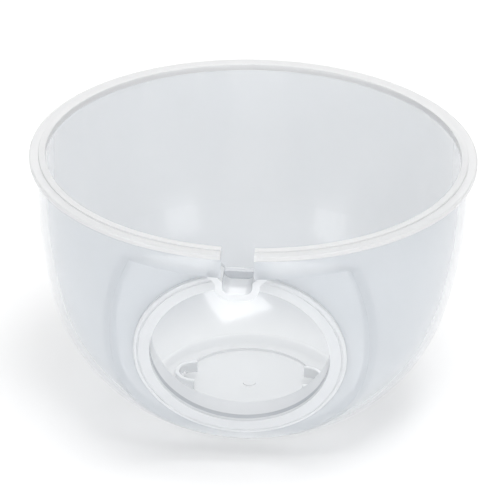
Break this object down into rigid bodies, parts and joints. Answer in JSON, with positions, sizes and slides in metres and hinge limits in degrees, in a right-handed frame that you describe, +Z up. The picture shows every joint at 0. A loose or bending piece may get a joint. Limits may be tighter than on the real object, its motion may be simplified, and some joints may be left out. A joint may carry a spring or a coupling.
{
  "type": "mixing bowl",
  "caption": "Round translucent mixing bowl with a flat leaning front, a round open port with a collar in it, and a notch with a brush rest in the rim.",
  "frame": {"origin": "centre of the flat underside that the bowl stands on", "axes": "+Z up along the bowl's axis, -Y towards the flat front with the port, +X to the right as seen from the front"},
  "size_m": [0.13, 0.1298, 0.08],
  "materials": {
    "clear_polypropylene": "natural translucent polypropylene, glossy outside"
  },
  "bodies": {
    "root": {"base_floor": "clear_polypropylene", "side_wall": "clear_polypropylene", "front_panel": "clear_polypropylene", "rim_flange": "clear_polypropylene", "port_ring": "clear_polypropylene", "port_sleeve": "clear_polypropylene", "rest_channel": "clear_polypropylene", "brush_ledges": "clear_polypropylene", "floor_lugs": "clear_polypropylene"}
  },
  "joints": []
}
